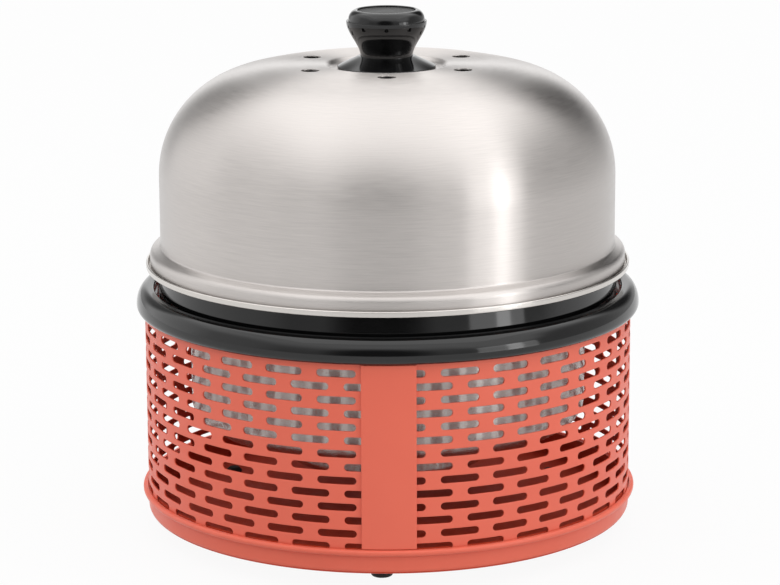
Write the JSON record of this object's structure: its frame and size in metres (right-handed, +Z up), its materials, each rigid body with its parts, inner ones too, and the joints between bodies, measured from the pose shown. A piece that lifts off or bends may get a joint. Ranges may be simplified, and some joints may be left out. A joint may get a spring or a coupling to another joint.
{
  "type": "tabletop barbecue grill",
  "caption": "Round tabletop charcoal grill: slotted drum on rubber feet, moulded top ring, hanging bowl, wire fire basket, ribbed grill plate and domed lid with a knob.",
  "frame": {"origin": "on the standing plane, under the middle of the drum", "axes": "+Z up along the drum's axis, -Y to the front, where the cover strip is"},
  "size_m": [0.31, 0.31, 0.3207],
  "materials": {
    "coral_enamel": "satin coral-red enamel",
    "lid_steel": "brushed round the lid",
    "bowl_steel": "polished stainless",
    "ring_black": "gloss black moulding",
    "knob_black": "gloss black moulding",
    "foot_rubber": "matt black rubber",
    "basket_wire": "drawn steel wire",
    "plate_coating": "dark non-stick coating",
    "zinc_steel": "zinc-plated"
  },
  "bodies": {
    "base": {"bottom_pan": "coral_enamel", "side_wall": "coral_enamel", "cover_strip": "coral_enamel", "strip_rivets": "zinc_steel", "top_ring": "ring_black", "ring_screws": "zinc_steel", "foot_front": "foot_rubber", "foot_rear_right": "foot_rubber", "foot_rear_left": "foot_rubber"},
    "bowl": {"inner_bowl": "bowl_steel"},
    "basket": {"basket_top_ring": "basket_wire", "basket_middle_ring": "basket_wire", "basket_base_ring": "basket_wire", "basket_uprights": "basket_wire", "basket_floor": "basket_wire"},
    "plate": {"grill_plate": "plate_coating"},
    "lid": {"lid_dome": "lid_steel", "knob_skirt": "knob_black", "knob_grip": "knob_black", "knob_top": "knob_black", "knob_disc": "knob_black", "knob_screw": "zinc_steel", "knob_washer": "zinc_steel"}
  },
  "joints": [
    {"name": "bowl_lift", "type": "slide", "parent": "base", "child": "bowl", "axis": [0, 0, 1], "range_m": [0, 0.18]},
    {"name": "basket_lift", "type": "slide", "parent": "bowl", "child": "basket", "axis": [0, 0, 1], "range_m": [0, 0.15]},
    {"name": "plate_lift", "type": "slide", "parent": "basket", "child": "plate", "axis": [0, 0, 1], "range_m": [0, 0.08]},
    {"name": "lid_lift", "type": "slide", "parent": "plate", "child": "lid", "axis": [0, 0, 1], "range_m": [0, 0.16]}
  ]
}
